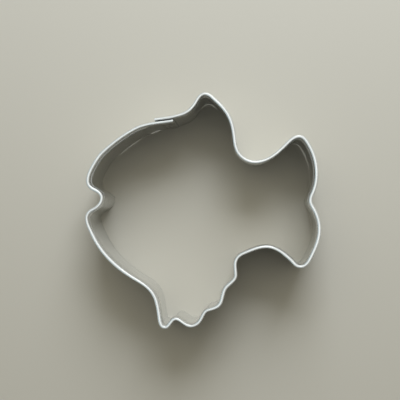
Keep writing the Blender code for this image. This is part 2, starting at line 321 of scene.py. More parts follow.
@dataclass(frozen=True)
class StripSection:
    """The strip's cross section: a wall, a round hem folded inwards, and the hem's inner flap."""

    sheet: float = 0.3 * MM
    wall_height: float = 20.0 * MM
    hem_width: float = 0.9 * MM
    hem_depth: float = 2.3 * MM
    step_height: float = 1.5 * MM
    lap_rim_gap: float = 0.3 * MM
    lap_wall_gap: float = 0.1 * MM
    wall_row: float = 0.62 * MM
    edge_rows: tuple[float, ...] = (0.0, 0.09 * MM, 0.3 * MM)
    step_rows: int = 6
    neck_rows: int = 4
    hem_rows: int = 18
    flap_rows: int = 11
    flap_edge_row: float = 0.09 * MM

    @property
    def bend_radius(self) -> float:
        """Radius of the hem's middle surface."""
        return (self.hem_width - self.sheet) / 2

    @property
    def hem_axis(self) -> float:
        """Height of the line that the hem is rolled round."""
        return self.wall_height - self.hem_width / 2

    @property
    def flap_edge(self) -> float:
        """Height of the flap's raw edge."""
        return self.wall_height - self.hem_depth

    @property
    def step_foot(self) -> float:
        """Height from which a lapped end starts to step further aside."""
        return self.flap_edge - self.step_height

    @property
    def rim_aside(self) -> float:
        """How far a lapped end stands aside at the rim."""
        return (self.hem_width + self.lap_rim_gap) / 2

    @property
    def wall_aside(self) -> float:
        """How far a lapped end stands aside in the flat part of the wall."""
        return (self.sheet + self.lap_wall_gap) / 2

    @property
    def lap_half(self) -> float:
        """Distance from the lap's middle to its faces, in the flat part of the wall."""
        return self.sheet + self.lap_wall_gap / 2

    def rows(self) -> tuple[np.ndarray, np.ndarray, np.ndarray]:
        """The section's middle surface, from the cutting edge to the flap's edge.

        Returns:
            How far each row lies outwards of the rim's middle line, its height, and its height in the flat
            blank that the strip is bent from.
        """
        wall_count = round((self.step_foot - self.edge_rows[-1]) / self.wall_row)
        wall = np.linspace(self.edge_rows[-1], self.step_foot, wall_count + 1)[1:]
        step = np.linspace(self.step_foot, self.flap_edge, self.step_rows + 1)[1:]
        neck = np.linspace(self.flap_edge, self.hem_axis, self.neck_rows + 1)[1:]
        angle = np.linspace(0.0, math.pi, self.hem_rows + 1)[1:]
        flap = np.linspace(self.hem_axis, self.flap_edge + self.flap_edge_row, self.flap_rows + 1)[1:]
        height = np.concatenate(
            [
                self.edge_rows,
                wall,
                step,
                neck,
                self.hem_axis + self.bend_radius * np.sin(angle),
                flap,
                [self.flap_edge],
            ]
        )
        upright = len(self.edge_rows) + len(wall) + len(step) + len(neck)
        out = np.concatenate(
            [
                np.full(upright, self.bend_radius),
                self.bend_radius * np.cos(angle),
                np.full(len(flap) + 1, -self.bend_radius),
            ]
        )
        blank = np.concatenate([[0.0], np.cumsum(np.hypot(np.diff(out), np.diff(height)))])
        return out, height, blank

    def swell(self) -> tuple[np.ndarray, np.ndarray]:
        """How the rolled hem swells into a fuller bead, its crest staying where it is.

        Returns:
            How far each row moves outwards and up, for each metre that the bead's radius grows.
        """
        neck = np.linspace(0.0, 1.0, self.neck_rows + 1)[1:]
        angle = np.linspace(0.0, math.pi, self.hem_rows + 1)[1:]
        flap = np.linspace(1.0, 0.0, self.flap_rows + 1)[1:]
        below = len(self.rows()[0]) - len(neck) - len(angle) - len(flap) - 1
        out = np.concatenate([np.zeros(below), eased(neck), np.cos(angle), np.full(len(flap) + 1, -1.0)])
        up = np.concatenate([np.zeros(below), -neck, np.sin(angle) - 1, -flap, [0.0]])
        return out, up

    def aside(self, height: np.ndarray) -> np.ndarray:
        """How far a lapped end stands aside at given heights."""
        share = eased((height - self.step_foot) / self.step_height)
        return self.wall_aside + share * (self.rim_aside - self.wall_aside)


def deselect_everything() -> None:
    """Leaves no object selected or in edit mode."""
    if bpy.context.object and bpy.context.object.mode != "OBJECT":
        bpy.ops.object.mode_set(mode="OBJECT")
    bpy.ops.object.select_all(action="DESELECT")


def take_up(piece: bpy.types.Object) -> None:
    """Makes one object the only selected and the active one.

    Args:
        piece: the object to work on.
    """
    deselect_everything()
    piece.select_set(True)
    bpy.context.view_layer.objects.active = piece


def newly_made(name: str) -> bpy.types.Object:
    """Names the primitive that was just added, and its mesh.

    Args:
        name: the new name.

    Returns:
        The primitive's object.
    """
    piece = bpy.context.object
    piece.name = name
    piece.data.name = name
    return piece


def pick_faces(piece: bpy.types.Object, wanted: Callable[[bmesh.types.BMFace], bool]) -> int:
    """Selects a piece's faces by a test, in edit mode.

    Args:
        piece: the object in edit mode.
        wanted: the test of one face.

    Returns:
        How many faces are selected.
    """
    bpy.ops.mesh.select_mode(type="FACE")
    bpy.ops.mesh.select_all(action="DESELECT")
    mesh = bmesh.from_edit_mesh(piece.data)
    picked = 0
    for face in mesh.faces:
        if wanted(face):
            face.select_set(True)
            picked += 1
    mesh.select_flush_mode()
    bmesh.update_edit_mesh(piece.data)
    return picked


def work_modifier(piece: bpy.types.Object, kind: str, **settings: Any) -> None:
    """Adds a modifier to a piece with its settings, and applies it.

    Args:
        piece: the object to change.
        kind: the modifier's type.
        settings: the modifier's properties.
    """
    take_up(piece)
    modifier = piece.modifiers.new(kind.lower(), kind)
    for name, value in settings.items():
        setattr(modifier, name, value)
    bpy.ops.object.modifier_apply(modifier=modifier.name)


def vertex_places(piece: bpy.types.Object) -> np.ndarray:
    """Reads where a piece's vertices are.

    Args:
        piece: the object.

    Returns:
        One row of three coordinates for each vertex.
    """
    places = np.empty(len(piece.data.vertices) * 3)
    piece.data.vertices.foreach_get("co", places)
    return places.reshape(-1, 3)


def move_vertices(piece: bpy.types.Object, places: np.ndarray) -> None:
    """Puts a mesh's vertices at new places."""
    piece.data.vertices.foreach_set("co", places.ravel())
    piece.data.update()


@dataclass(frozen=True)
class WeldMark:
    """Where one spot weld sits: the middle of the lap, and the direction out of the wall."""

    centre: Vector
    outward: Vector

    def face_centre(self, side: LapSide, lap_half: float) -> Vector:
        """The middle of the mark on one face of the lap."""
        return self.centre + self.outward * (int(side) * lap_half)


@dataclass(frozen=True)
class ElectrodePrint:
    """The print that a welding electrode leaves in the sheet: a shallow dish inside a faint raised lip."""

    dish_radius: float = 0.95 * MM
    wall_radius: float = 1.3 * MM
    reach: float = 1.9 * MM
    depth: float = 0.045 * MM
    lip_height: float = 0.014 * MM
    lip_radius: float = 1.42 * MM
    lip_width: float = 0.2 * MM
    worked_margin: float = 1.15
    worked_cuts: int = 2
    facing: float = 0.9

    def height(self, radius: np.ndarray) -> np.ndarray:
        """How far the sheet's face stands out round the print.

        Args:
            radius: distances from the print's middle.

        Returns:
            The heights, negative in the dish.
        """
        dish = 1 - eased((radius - self.dish_radius) / (self.wall_radius - self.dish_radius))
        lip = np.exp(-(((radius - self.lip_radius) / self.lip_width) ** 2))
        fade = 1 - eased((radius - self.lip_radius) / (self.reach - self.lip_radius))
        return self.lip_height * lip * np.clip(fade, 0, 1) - self.depth * dish


@dataclass(frozen=True)
class Stretch:
    """A stretch of the strip, round a place past a knot, and how far the strip strays there at most.

    The lengths are in millimetres, as the knots' are.
    """

    knot: str
    past: float
    half_length: float
    reach: float


@dataclass(frozen=True)
class Wave:
    """Shallow waves round the wall: their number, share of the depth, phase, and twist up the wall."""

    count: int
    share: float
    phase: float
    twist: float = 0.0

    def swing(self, turns: np.ndarray, lift: np.ndarray) -> np.ndarray:
        """The wave's swing at an angle round the fish and a share of the wall's height."""
        return self.share * np.sin(self.count * turns + self.phase + self.twist * lift)


@dataclass
class BentStrip:
    """The one strip of sheet metal: raised as a wall round the fish, hemmed, lapped and pressed."""

    outline: FishOutline = field(default_factory=FishOutline)
    section: StripSection = field(default_factory=StripSection)
    electrode: ElectrodePrint = field(default_factory=ElectrodePrint)
    lap_length: float = 5.9 * MM
    lap_ease: float = 6.5 * MM
    longest_step: float = 0.7 * MM
    longest_lap_step: float = 0.3 * MM
    sharpest_turn: float = math.radians(4.2)
    end_station: float = 0.09 * MM
    route_samples: int = 24000
    edge_round: float = 0.04 * MM
    edge_segments: int = 2
    sharp_edge: float = math.radians(60)
    smooth_angle: float = math.radians(50)
    wall_waviness: float = 0.07 * MM
    wall_waves: tuple[Wave, ...] = (Wave(11, 1.0, 0.7), Wave(19, 0.6, 2.1, 1.5), Wave(31, 0.45, 4.0, -2.2))
    wave_fade: Range = (0.45, 0.81)
    lap_stiffness: float = 1.2
    flap_waviness: float = 0.09 * MM
    flap_straight_share: float = 0.35
    ripple_lengths: Range = (7.3 * MM, 3.1 * MM)
    ripple_phase: float = 1.0
    tight_bend: float = 420.0
    stretch_steepness: float = 1.6
    hem_swell: float = 0.05 * MM
    hem_swells: tuple[Stretch, ...] = (
        Stretch("temple", 2.0, 14.0, 0.09),
        Stretch("throat", -1.0, 15.0, 0.14),
        Stretch("fin_front", -2.0, 10.0, 0.12),
        Stretch("second_lobe_back", 0.0, 7.0, 0.07),
        Stretch("lower_fluke_front", 0.0, 4.5, 0.10),
        Stretch("lower_fluke", 0.0, 15.0, 0.10),
        Stretch("upper_fluke", 0.0, 22.0, 0.10),
        Stretch("dorsal_bend", -2.0, 15.0, 0.12),
    )
    flap_kick: float = 0.15 * MM
    flap_kick_reach: float = 0.5 * MM
    flap_springs: tuple[Stretch, ...] = (
        Stretch("forehead", 0.0, 26.0, 0.16),
        Stretch("upper_fluke", 0.0, 17.0, 0.12),
    )
    wall_leans: tuple[Stretch, ...] = (
        Stretch("snout", 3.0, 42.0, 0.42),
        Stretch("fork", 0.0, 34.0, 0.36),
    )
    lift_reach: float = 7.0 * MM
    edge_lifts: tuple[Stretch, ...] = (
        Stretch("nape", 0.5, 2.8, 0.30),
        Stretch("brow", 2.2, 7.5, 0.30),
        Stretch("dorsal_tip", 0.0, 5.5, 0.22),
        Stretch("upper_fluke_tip", -9.5, 12.5, 0.41),
        Stretch("lower_fluke", 2.0, 7.0, 0.26),
    )

    def __post_init__(self) -> None:
        """Draws the route that all of the strip's places come from."""
        self.route = self.outline.route()

    def lap_side(self, distance: np.ndarray) -> np.ndarray:
        """Which way the strip steps aside.

        Args:
            distance: distances from the seam.

        Returns:
            -1 on the lap's inner end, 1 on its outer end, 0 away from it, and smooth steps between them.
        """
        half_lap = self.lap_length / 2
        inner = 1 - eased((distance - half_lap) / self.lap_ease)
        outer = 1 - eased((self.route.around - half_lap - distance) / self.lap_ease)
        return outer - inner

    def station_distances(self) -> np.ndarray:
        """Spaces the strip's columns of vertices, closer where it bends and in the lap.

        Returns:
            The columns' distances from the seam, inner end first.
        """
        half_lap = self.lap_length / 2
        start, end = -half_lap, self.route.around + half_lap
        fine = np.linspace(start, end, self.route_samples)
        near_lap = np.minimum(fine - start, end - fine) < self.lap_length + self.lap_ease / 2
        longest = np.where(near_lap, self.longest_lap_step, self.longest_step)
        effort = np.maximum(np.abs(self.route.bend(fine)) / self.sharpest_turn, 1 / longest)
        total = np.concatenate([[0.0], np.cumsum((effort[1:] + effort[:-1]) / 2 * np.diff(fine))])
        even = np.interp(np.linspace(0.0, total[-1], math.ceil(total[-1]) + 1), total, fine)
        inside = even[(even > start + 2 * self.end_station) & (even < end - 2 * self.end_station)]
        ends = [start, start + self.end_station], [end - self.end_station, end]
        return np.concatenate([ends[0], inside, ends[1]])

    def draw_foot(self, stations: Route) -> bpy.types.Object:
        """Lays an open ring of edges along the cutting edge, with one vertex at each station.

        Args:
            stations: the points that the strip's columns stand on.

        Returns:
            The new object.
        """
        count = len(stations.distance)
        deselect_everything()
        bpy.ops.mesh.primitive_circle_add(
            vertices=count, radius=self.outline.length / 2, fill_type="NOTHING"
        )
        piece = newly_made("fish_strip")
        take_up(piece)
        number = piece.data.attributes.new("station", "INT", "POINT")
        number.data.foreach_set("value", np.arange(count, dtype=np.int32))
        bpy.ops.object.mode_set(mode="EDIT")
        bpy.ops.mesh.select_mode(type="EDGE")
        bpy.ops.mesh.select_all(action="DESELECT")
        mesh = bmesh.from_edit_mesh(piece.data)
        for edge in mesh.edges:
            numbers = sorted(vertex.index for vertex in edge.verts)
            edge.select_set(numbers == [0, count - 1])
        bmesh.update_edit_mesh(piece.data)
        bpy.ops.mesh.delete(type="EDGE")
        bpy.ops.object.mode_set(mode="OBJECT")
        move_vertices(piece, np.stack([stations.x, stations.y, np.zeros(count)], axis=1))
        return piece

    def raise_blank(self, piece: bpy.types.Object, blank: np.ndarray) -> None:
        """Extrudes the foot straight up, one row after another, to the height of the flat blank.

        Args:
            piece: the strip's foot.
            blank: the rows' heights in the blank.
        """
        take_up(piece)
        bpy.ops.object.mode_set(mode="EDIT")
        bpy.ops.mesh.select_mode(type="EDGE")
        bpy.ops.mesh.select_all(action="SELECT")
        for rise in np.diff(blank):
            bpy.ops.mesh.extrude_region_move(TRANSFORM_OT_translate={"value": (0.0, 0.0, float(rise))})
        bpy.ops.mesh.select_all(action="SELECT")
        bpy.ops.mesh.normals_make_consistent(inside=False)
        bpy.ops.object.mode_set(mode="OBJECT")

    def wall_dent(self, distance: np.ndarray, height: np.ndarray) -> np.ndarray:
        """How far the wall lies inwards of its true place, from bending the strip by hand tools.

        Args:
            distance: distances from the seam.
            height: heights above the cutting edge.

        Returns:
            The dents' depths, none near the rim or in the lap.
        """
        turns = 2 * math.pi * distance / self.route.around
        lift = height / self.section.wall_height
        swing = sum(wave.swing(turns, lift) for wave in self.wall_waves)
        most = sum(wave.share for wave in self.wall_waves)
        depth = self.wall_waviness * (swing + most) / (2 * most)
        fade_start, fade_end = self.wave_fade
        below_hem = 1 - eased((lift - fade_start) / (fade_end - fade_start))
        in_lap = np.abs(self.lap_side(distance))
        return depth * below_hem * (1 - eased(in_lap * self.lap_stiffness))

    def knot_distance(self, name: str) -> float:
        """A knot's distance from the seam."""
        names = [knot.name for knot in OUTLINE]
        return float(self.route.distance[names.index(name) * self.outline.samples_per_curve])

    def straying(self, distance: np.ndarray, stretches: Iterable[Stretch]) -> np.ndarray:
        """How far the strip strays along some stretches.

        Args:
            distance: distances from the seam.
            stretches: the stretches.

        Returns:
            The furthest reach at each distance, which fades out towards a stretch's ends.
        """
        reach = np.zeros_like(distance)
        for stretch in stretches:
            middle = self.knot_distance(stretch.knot) + stretch.past * MM
            share = 1 - np.abs(distance - middle) / (stretch.half_length * MM)
            reach = np.maximum(reach, stretch.reach * MM * eased(self.stretch_steepness * share))
        return reach

    def flap_spring(self, row: np.ndarray, height: np.ndarray, distance: np.ndarray) -> np.ndarray:
        """How far the flap's raw edge has sprung off the wall, not at all in the lap.

        Args:
            row: each vertex's row.
            height: the rows' heights.
            distance: each vertex's distance from the seam.

        Returns:
            How far each vertex lies further inwards.
        """
        flap_start = len(height) - self.section.flap_rows - 1
        share = 1 - (height[row] - self.section.flap_edge) / self.flap_kick_reach
        depth = self.flap_kick + self.straying(distance, self.flap_springs)
        kick = np.where(row >= flap_start, depth * np.clip(share, 0, 1) ** 2, 0.0)
        return kick * (1 - np.abs(self.lap_side(distance)))

    def fold(self, piece: bpy.types.Object, stations: Route) -> None:
        """Rolls the blank's top over into the hem, and steps the lapped ends aside.

        Args:
            piece: the raised blank.
            stations: the points that the strip's columns stand on.
        """
        out, height, blank = self.section.rows()
        raised = vertex_places(piece)
        row = np.abs(raised[:, 2:3] - blank[None, :]).argmin(axis=1)
        column = np.empty(len(raised), dtype=np.int32)
        piece.data.attributes["station"].data.foreach_get("value", column)
        distance = stations.distance[column]
        heading = stations.heading[column]
        curvature = self.route.bend(distance)
        tightness = np.clip(np.abs(curvature) / self.tight_bend, 0, 1)
        flap_start = len(blank) - self.section.flap_rows - 1
        flap = np.clip((row - flap_start + 1) / (self.section.flap_rows + 1), 0, 1)
        slow, quick = (distance * 2 * math.pi / length for length in self.ripple_lengths)
        ripple = np.sin(slow) * np.sin(quick + self.ripple_phase)
        across = out[row] + self.lap_side(distance) * self.section.aside(height[row])
        upright = row < flap_start - self.section.hem_rows
        across = across - np.where(upright, self.wall_dent(distance, height[row]), 0.0)
        flap_bulge = self.flap_straight_share + (1 - self.flap_straight_share) * tightness
        across = across - flap * self.flap_waviness * flap_bulge
        across = across - self.flap_spring(row, height, distance)
        apart = 1 - np.abs(self.lap_side(distance))
        lean = self.straying(distance, self.wall_leans) * apart
        across = across - lean * np.clip(1 - height[row] / self.section.flap_edge, 0, 1)
        swell_out, swell_up = self.section.swell()
        swell = (self.hem_swell + self.straying(distance, self.hem_swells)) * apart
        across = across + swell * swell_out[row]
        near_edge = np.clip(1 - height[row] / self.lift_reach, 0, 1)
        lifted = height[row] + flap * self.flap_waviness * ripple
        lifted = lifted + self.straying(distance, self.edge_lifts) * near_edge + swell * swell_up[row]
        half_length, half_height = (
            (size - self.section.sheet) / 2 for size in (self.outline.length, self.outline.height)
        )
        places = np.stack(
            [
                np.clip(stations.x[column] + across * np.sin(heading), -half_length, half_length),
                np.clip(stations.y[column] - across * np.cos(heading), -half_height, half_height),
                lifted,
            ],
            axis=1,
        )
        self.map_blank(piece, distance, blank[row])
        bend = piece.data.attributes.new("bend", "FLOAT", "POINT")
        bend.data.foreach_set("value", tightness.astype(np.float32))
        piece.data.attributes.remove(piece.data.attributes["station"])
        move_vertices(piece, places)

    def map_blank(self, piece: bpy.types.Object, distance: np.ndarray, blank: np.ndarray) -> None:
        """Gives the strip a UV map that is its flat blank, in metres.

        Args:
            piece: the strip.
            distance: each vertex's distance from the seam.
            blank: each vertex's height in the blank.
        """
        layer = piece.data.uv_layers.new(name=STRIP_MAP)
        corners = np.empty(len(piece.data.loops), dtype=np.int32)
        piece.data.loops.foreach_get("vertex_index", corners)
        flat = np.stack([distance[corners], blank[corners]], axis=1)
        layer.data.foreach_set("uv", flat.astype(np.float32).ravel())

    def thicken(self, piece: bpy.types.Object) -> None:
        """Gives the strip its sheet thickness, with the second material on its cut edges, and eases them.

        The leaning wall tilts its cut edge by a hair, so the edge is levelled on the floor at the end.

        Args:
            piece: the folded strip.
        """
        work_modifier(
            piece,
            "SOLIDIFY",
            thickness=self.section.sheet,
            offset=0.0,
            use_even_offset=True,
            use_rim=True,
            material_offset_rim=1,
        )
        work_modifier(
            piece,
            "BEVEL",
            width=self.edge_round,
            segments=self.edge_segments,
            limit_method="ANGLE",
            angle_limit=self.sharp_edge,
            use_clamp_overlap=True,
        )
        move_vertices(piece, np.clip(vertex_places(piece), *CAD_BOX))

    def press_weld(self, piece: bpy.types.Object, mark: WeldMark) -> None:
        """Refines the sheet round a weld and presses the electrodes' prints into both faces of the lap.

        Args:
            piece: the thickened strip.
            mark: the weld's place.
        """
        face_depth = self.section.sheet / 3
        worked_radius = self.electrode.reach * self.electrode.worked_margin
        for side in LapSide:
            middle = mark.face_centre(side, self.section.lap_half)
            outward = mark.outward * int(side)

            def near(face: bmesh.types.BMFace) -> bool:
                """Tests whether a face belongs to the pressed side, close to the weld.

                Args:
                    face: the face.

                Returns:
                    Whether it does.
                """
                offset = face.calc_center_median() - middle
                level = offset.dot(outward)
                beside = (offset - outward * level).length
                turned_out = face.normal.dot(outward) > self.electrode.facing
                return turned_out and abs(level) < face_depth and beside < worked_radius

            take_up(piece)
            bpy.ops.object.mode_set(mode="EDIT")
            picked = pick_faces(piece, near)
            bpy.ops.mesh.subdivide(number_cuts=self.electrode.worked_cuts, quadcorner="INNERVERT")
            bpy.ops.object.mode_set(mode="OBJECT")
            places = vertex_places(piece)
            offset = places - np.array(middle)
            level = offset @ np.array(outward)
            radius = np.linalg.norm(offset - level[:, None] * np.array(outward)[None, :], axis=1)
            pressed = (np.abs(level) < face_depth) & (radius < self.electrode.reach)
            rise = np.where(pressed, self.electrode.height(radius), 0.0)
            move_vertices(piece, places + rise[:, None] * np.array(outward)[None, :])
            log.debug("electrode print on %d faces", picked)

    def build(self, marks: Iterable[WeldMark], finishes: list[bpy.types.Material]) -> bpy.types.Object:
        """Builds and dresses the strip.

        Args:
            marks: the places of the spot welds.
            finishes: the sheet's finish and that of its cut edges.

        Returns:
            The finished piece.
        """
        stations = self.route.at(self.station_distances())
        piece = self.draw_foot(stations)
        self.raise_blank(piece, self.section.rows()[2])
        self.fold(piece, stations)
        for finish in finishes:
            piece.data.materials.append(finish)
        self.thicken(piece)
        for mark in marks:
            self.press_weld(piece, mark)
        take_up(piece)
        bpy.ops.object.shade_smooth_by_angle(angle=self.smooth_angle)
        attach(piece, BODY)
        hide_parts("band")
        return piece


@dataclass
class SpotWeld:
    """The nugget of one spot weld, seen as a dull dished disc on each face of the lap."""

    node: str
    heading: float
    lap_half: float
    radius: float = 1.1 * MM
    sides: int = 64
    smooth_angle: float = math.radians(40)
    edge_sunk: float = 0.02 * MM
    dish_rise: float = 0.012 * MM
    electrode: ElectrodePrint = field(default_factory=ElectrodePrint)
    ring_radii: tuple[float, ...] = (1.04 * MM, 0.95 * MM, 0.8 * MM, 0.6 * MM, 0.4 * MM, 0.2 * MM)

    @property
    def mark(self) -> WeldMark:
        """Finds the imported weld.

        Returns:
            Where it sits.
        """
        low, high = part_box(self.node)
        outward = Vector((math.sin(self.heading), -math.cos(self.heading), 0.0))
        return WeldMark((low + high) / 2, outward)

    def face_height(self, radius: float) -> float:
        """How far the nugget's face stands from the lap's middle at a distance from its axis."""
        print_height = float(self.electrode.height(np.array(radius)))
        return self.lap_half + print_height + self.dish_rise

    def build(self, finish: bpy.types.Material) -> bpy.types.Object:
        """Builds and dresses the nugget.

        Args:
            finish: the weld's finish.

        Returns:
            The finished piece.
        """
        edge = self.lap_half + float(self.electrode.height(np.array(self.radius))) - self.edge_sunk
        deselect_everything()
        bpy.ops.mesh.primitive_cylinder_add(
            vertices=self.sides, radius=self.radius, depth=2 * edge, end_fill_type="NGON"
        )
        piece = newly_made("weld_" + self.node.rsplit("_", 1)[-1])
        bpy.ops.object.mode_set(mode="EDIT")
        pick_faces(piece, lambda face: abs(face.normal.z) > self.electrode.facing)
        ring, height = self.radius, edge
        for radius in self.ring_radii:
            rise = self.face_height(radius) - height
            bpy.ops.mesh.inset(thickness=ring - radius, depth=rise)
            ring, height = radius, height + rise
        bpy.ops.mesh.poke()
        bpy.ops.object.mode_set(mode="OBJECT")
        mark = self.mark
        piece.rotation_euler = (math.pi / 2, 0.0, self.heading)
        piece.location = mark.centre
        take_up(piece)
        bpy.ops.object.transform_apply(location=True, rotation=True, scale=True)
        bpy.ops.object.shade_smooth_by_angle(angle=self.smooth_angle)
        piece.data.materials.append(finish)
        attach(piece, BODY)
        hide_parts(self.node)
        return piece


Number = Union[float, "Signal"]


class Signal:
    """A number socket of a material, which Python expressions can work with."""

    def __init__(self, graph: Graph, socket: bpy.types.NodeSocket) -> None:
        """Wraps a socket of a graph."""
        self.graph = graph
        self.socket = socket

    def with_math(self, operation: str, first: Number, second: Number) -> Signal:
        """The result of a Math node on two values."""
        node = self.graph.node("ShaderNodeMath", {"operation": operation}, {0: first, 1: second})
        return Signal(self.graph, node.outputs[0])

    def __add__(self, other: Number) -> Signal:
        """This value and another."""
        return self.with_math("ADD", self, other)

    __radd__ = __add__

    def __mul__(self, other: Number) -> Signal:
        """This value times another."""
        return self.with_math("MULTIPLY", self, other)

    __rmul__ = __mul__

    def __sub__(self, other: Number) -> Signal:
        """This value less another."""
        return self.with_math("SUBTRACT", self, other)

    def __rsub__(self, other: Number) -> Signal:
        """Another value less this one."""
        return self.with_math("SUBTRACT", other, self)

    def least(self, other: Number) -> Signal:
        """The smaller of this value and another."""
        return self.with_math("MINIMUM", self, other)

    def most(self, other: Number) -> Signal:
        """The larger of this value and another."""
        return self.with_math("MAXIMUM", self, other)

    def centred(self) -> Signal:
        """This value less a half, so that a noise varies both ways."""
        return self - 0.5

    def sine(self) -> Signal:
        """The sine of this value, taken as radians."""
        return self.with_math("SINE", self, 0.0)

    def rising(self, low: float, high: float) -> Signal:
        """Turns this value into a share that rises smoothly.

        Args:
            low: the value up to which the share is 0.
            high: the value from which it is 1.

        Returns:
            The share.
        """
        settings = {"interpolation_type": "SMOOTHSTEP", "clamp": True}
        node = self.graph.node("ShaderNodeMapRange", settings, {0: self, 1: low, 2: high})
        return Signal(self.graph, node.outputs[0])


class Graph:
    """The node tree of one material or world.

    The numbers are the colour sockets of a Mix node, which share their names with its other sockets.
    """

    MIX_SHARE, MIX_FIRST, MIX_SECOND = 0, 6, 7
    MIX_RESULT = 2

    def __init__(self, tree: bpy.types.NodeTree) -> None:
        """Starts from an empty tree."""
        self.tree = tree
        tree.nodes.clear()

    def node(
        self, kind: str, settings: dict[str, Any], sockets: dict[Union[int, str], Any]
    ) -> bpy.types.Node:
        """Adds a node.

        Args:
            kind: the node's type.
            settings: its properties, and a ramp's stops, which are set first.
            sockets: the values or links of its inputs, by name or number.

        Returns:
            The new node.
        """
        made = self.tree.nodes.new(kind)
        for name, value in settings.items():
            if name == "stops":
                self.set_stops(made.color_ramp, value)
            else:
                setattr(made, name, value)
        for key, value in sockets.items():
            if isinstance(value, Signal):
                self.tree.links.new(value.socket, made.inputs[key])
            elif isinstance(value, bpy.types.NodeSocket):
                self.tree.links.new(value, made.inputs[key])
            else:
                made.inputs[key].default_value = value
        return made

    @staticmethod
    def set_stops(ramp: bpy.types.ColorRamp, stops: Stops) -> None:
        """Gives a colour ramp its stops.

        Args:
            ramp: the ramp.
            stops: each stop's position and colour, from left to right.
        """
        while len(ramp.elements) < len(stops):
            ramp.elements.new(0.5)
        for element, (position, color) in zip(ramp.elements, stops):
            element.position = position
            element.color = color

    def number(self, node: bpy.types.Node, output: Union[int, str] = 0) -> Signal:
        """One of a node's outputs, for expressions."""
        return Signal(self, node.outputs[output])

    def object_place(self) -> bpy.types.NodeSocket:
        """The place on the object, in metres."""
        return self.node("ShaderNodeTexCoord", {}, {}).outputs["Object"]

    def blank_place(self) -> bpy.types.NodeSocket:
        """The place on the strip's flat blank, in metres along it and up it."""
        return self.node("ShaderNodeUVMap", {"uv_map": STRIP_MAP}, {}).outputs["UV"]

    def attribute(self, name: str) -> Signal:
        """A number stored on the mesh."""
        return self.number(self.node("ShaderNodeAttribute", {"attribute_name": name}, {}), "Fac")

    def laid(self, place: bpy.types.NodeSocket, size: Place, turn: float = 0.0) -> bpy.types.NodeSocket:
        """A place for a pattern whose grains have a given size and turn.

        Args:
            place: the place on the piece.
            size: a grain's length along each axis, in metres.
            turn: the pattern's turn about the third axis, in radians.

        Returns:
            The place in grains.
        """
        kind, settings = "ShaderNodeMapping", {"vector_type": "POINT"}
        turned_place = self.node(kind, settings, {"Vector": place, "Rotation": (0.0, 0.0, turn)}).outputs[0]
        scale = tuple(1 / length for length in size)
        return self.node(kind, settings, {"Vector": turned_place, "Scale": scale}).outputs[0]

    def noise(self, place: bpy.types.NodeSocket, detail: float = 2.0, rough: float = 0.5) -> Signal:
        """Soft random mottling between 0 and 1."""
        sockets = {"Vector": place, "Scale": 1.0, "Detail": detail, "Roughness": rough}
        return self.number(self.node("ShaderNodeTexNoise", {"noise_dimensions": "3D"}, sockets))

    def mixed(self, factor: Number, first: Any, second: Any, blend: str = "MIX") -> bpy.types.NodeSocket:
        """Mixes two colours, the second laid over the first by its share and in the way of the blend.

        Args:
            factor: the share of the second colour.
            first: a colour or a colour socket.
            second: a colour or a colour socket.
            blend: how the second is laid over the first.

        Returns:
            The mixed colour.
        """
        settings = {"data_type": "RGBA", "blend_type": blend}
        sockets = {self.MIX_SHARE: factor, self.MIX_FIRST: first, self.MIX_SECOND: second}
        return self.node("ShaderNodeMix", settings, sockets).outputs[self.MIX_RESULT]

    def between(self, operation: str, first: bpy.types.NodeSocket, second: Iterable[float]) -> Signal:
        """The number that a Vector Math node makes of two places or directions."""
        node = self.node("ShaderNodeVectorMath", {"operation": operation}, {0: first, 1: tuple(second)})
        return self.number(node, "Value")

    def nearest(self, place: bpy.types.NodeSocket, points: list[Vector]) -> Signal:
        """Measures how far the nearest of some points is.

        Args:
            place: the place to measure from.
            points: the points, at least one.

        Returns:
            The distance.
        """
        nearest = self.between("DISTANCE", place, points[0])
        for point in points[1:]:
            nearest = nearest.least(self.between("DISTANCE", place, point))
        return nearest

    def height_of(self, place: bpy.types.NodeSocket) -> Signal:
        """The third coordinate of a place."""
        return self.number(self.node("ShaderNodeSeparateXYZ", {}, {0: place}), "Z")


def new_material(name: str) -> tuple[bpy.types.Material, Graph]:
    """Starts a node material.

    Args:
        name: its name.

    Returns:
        The material and its empty graph.
    """
    material = bpy.data.materials.new(name)
    material.use_nodes = True
    return material, Graph(material.node_tree)


def rgb(red: float, green: float, blue: float) -> Color:
    """A solid colour."""
    return (red, green, blue, 1.0)


@dataclass(frozen=True)
class MetalFinish:
    """What the cutter's metal finishes share: a bare metal shader with varying colour, gloss and relief."""

    name: str
    color: Color
    shade: Color
    roughness: float
    smudge_roughness: float
    smudge_size: float
    metallic: float = 1.0

    def surface(self, graph: Graph, color: Any, roughness: Number, relief: Signal, depth: float) -> None:
        """Ends a graph in the metal shader.

        Args:
            graph: the material's graph.
            color: the metal's colour.
            roughness: its roughness.
            relief: its fine relief, about 0 to 1.
            depth: the relief's depth in metres.
        """
        bump = graph.node("ShaderNodeBump", {}, {"Strength": 1.0, "Distance": depth, "Height": relief})
        shader = graph.node(
            "ShaderNodeBsdfPrincipled",
            {},
            {
                "Base Color": color,
                "Metallic": self.metallic,
                "Roughness": roughness,
                "Normal": bump.outputs[0],
            },
        )
        graph.node("ShaderNodeOutputMaterial", {}, {"Surface": shader.outputs[0]})


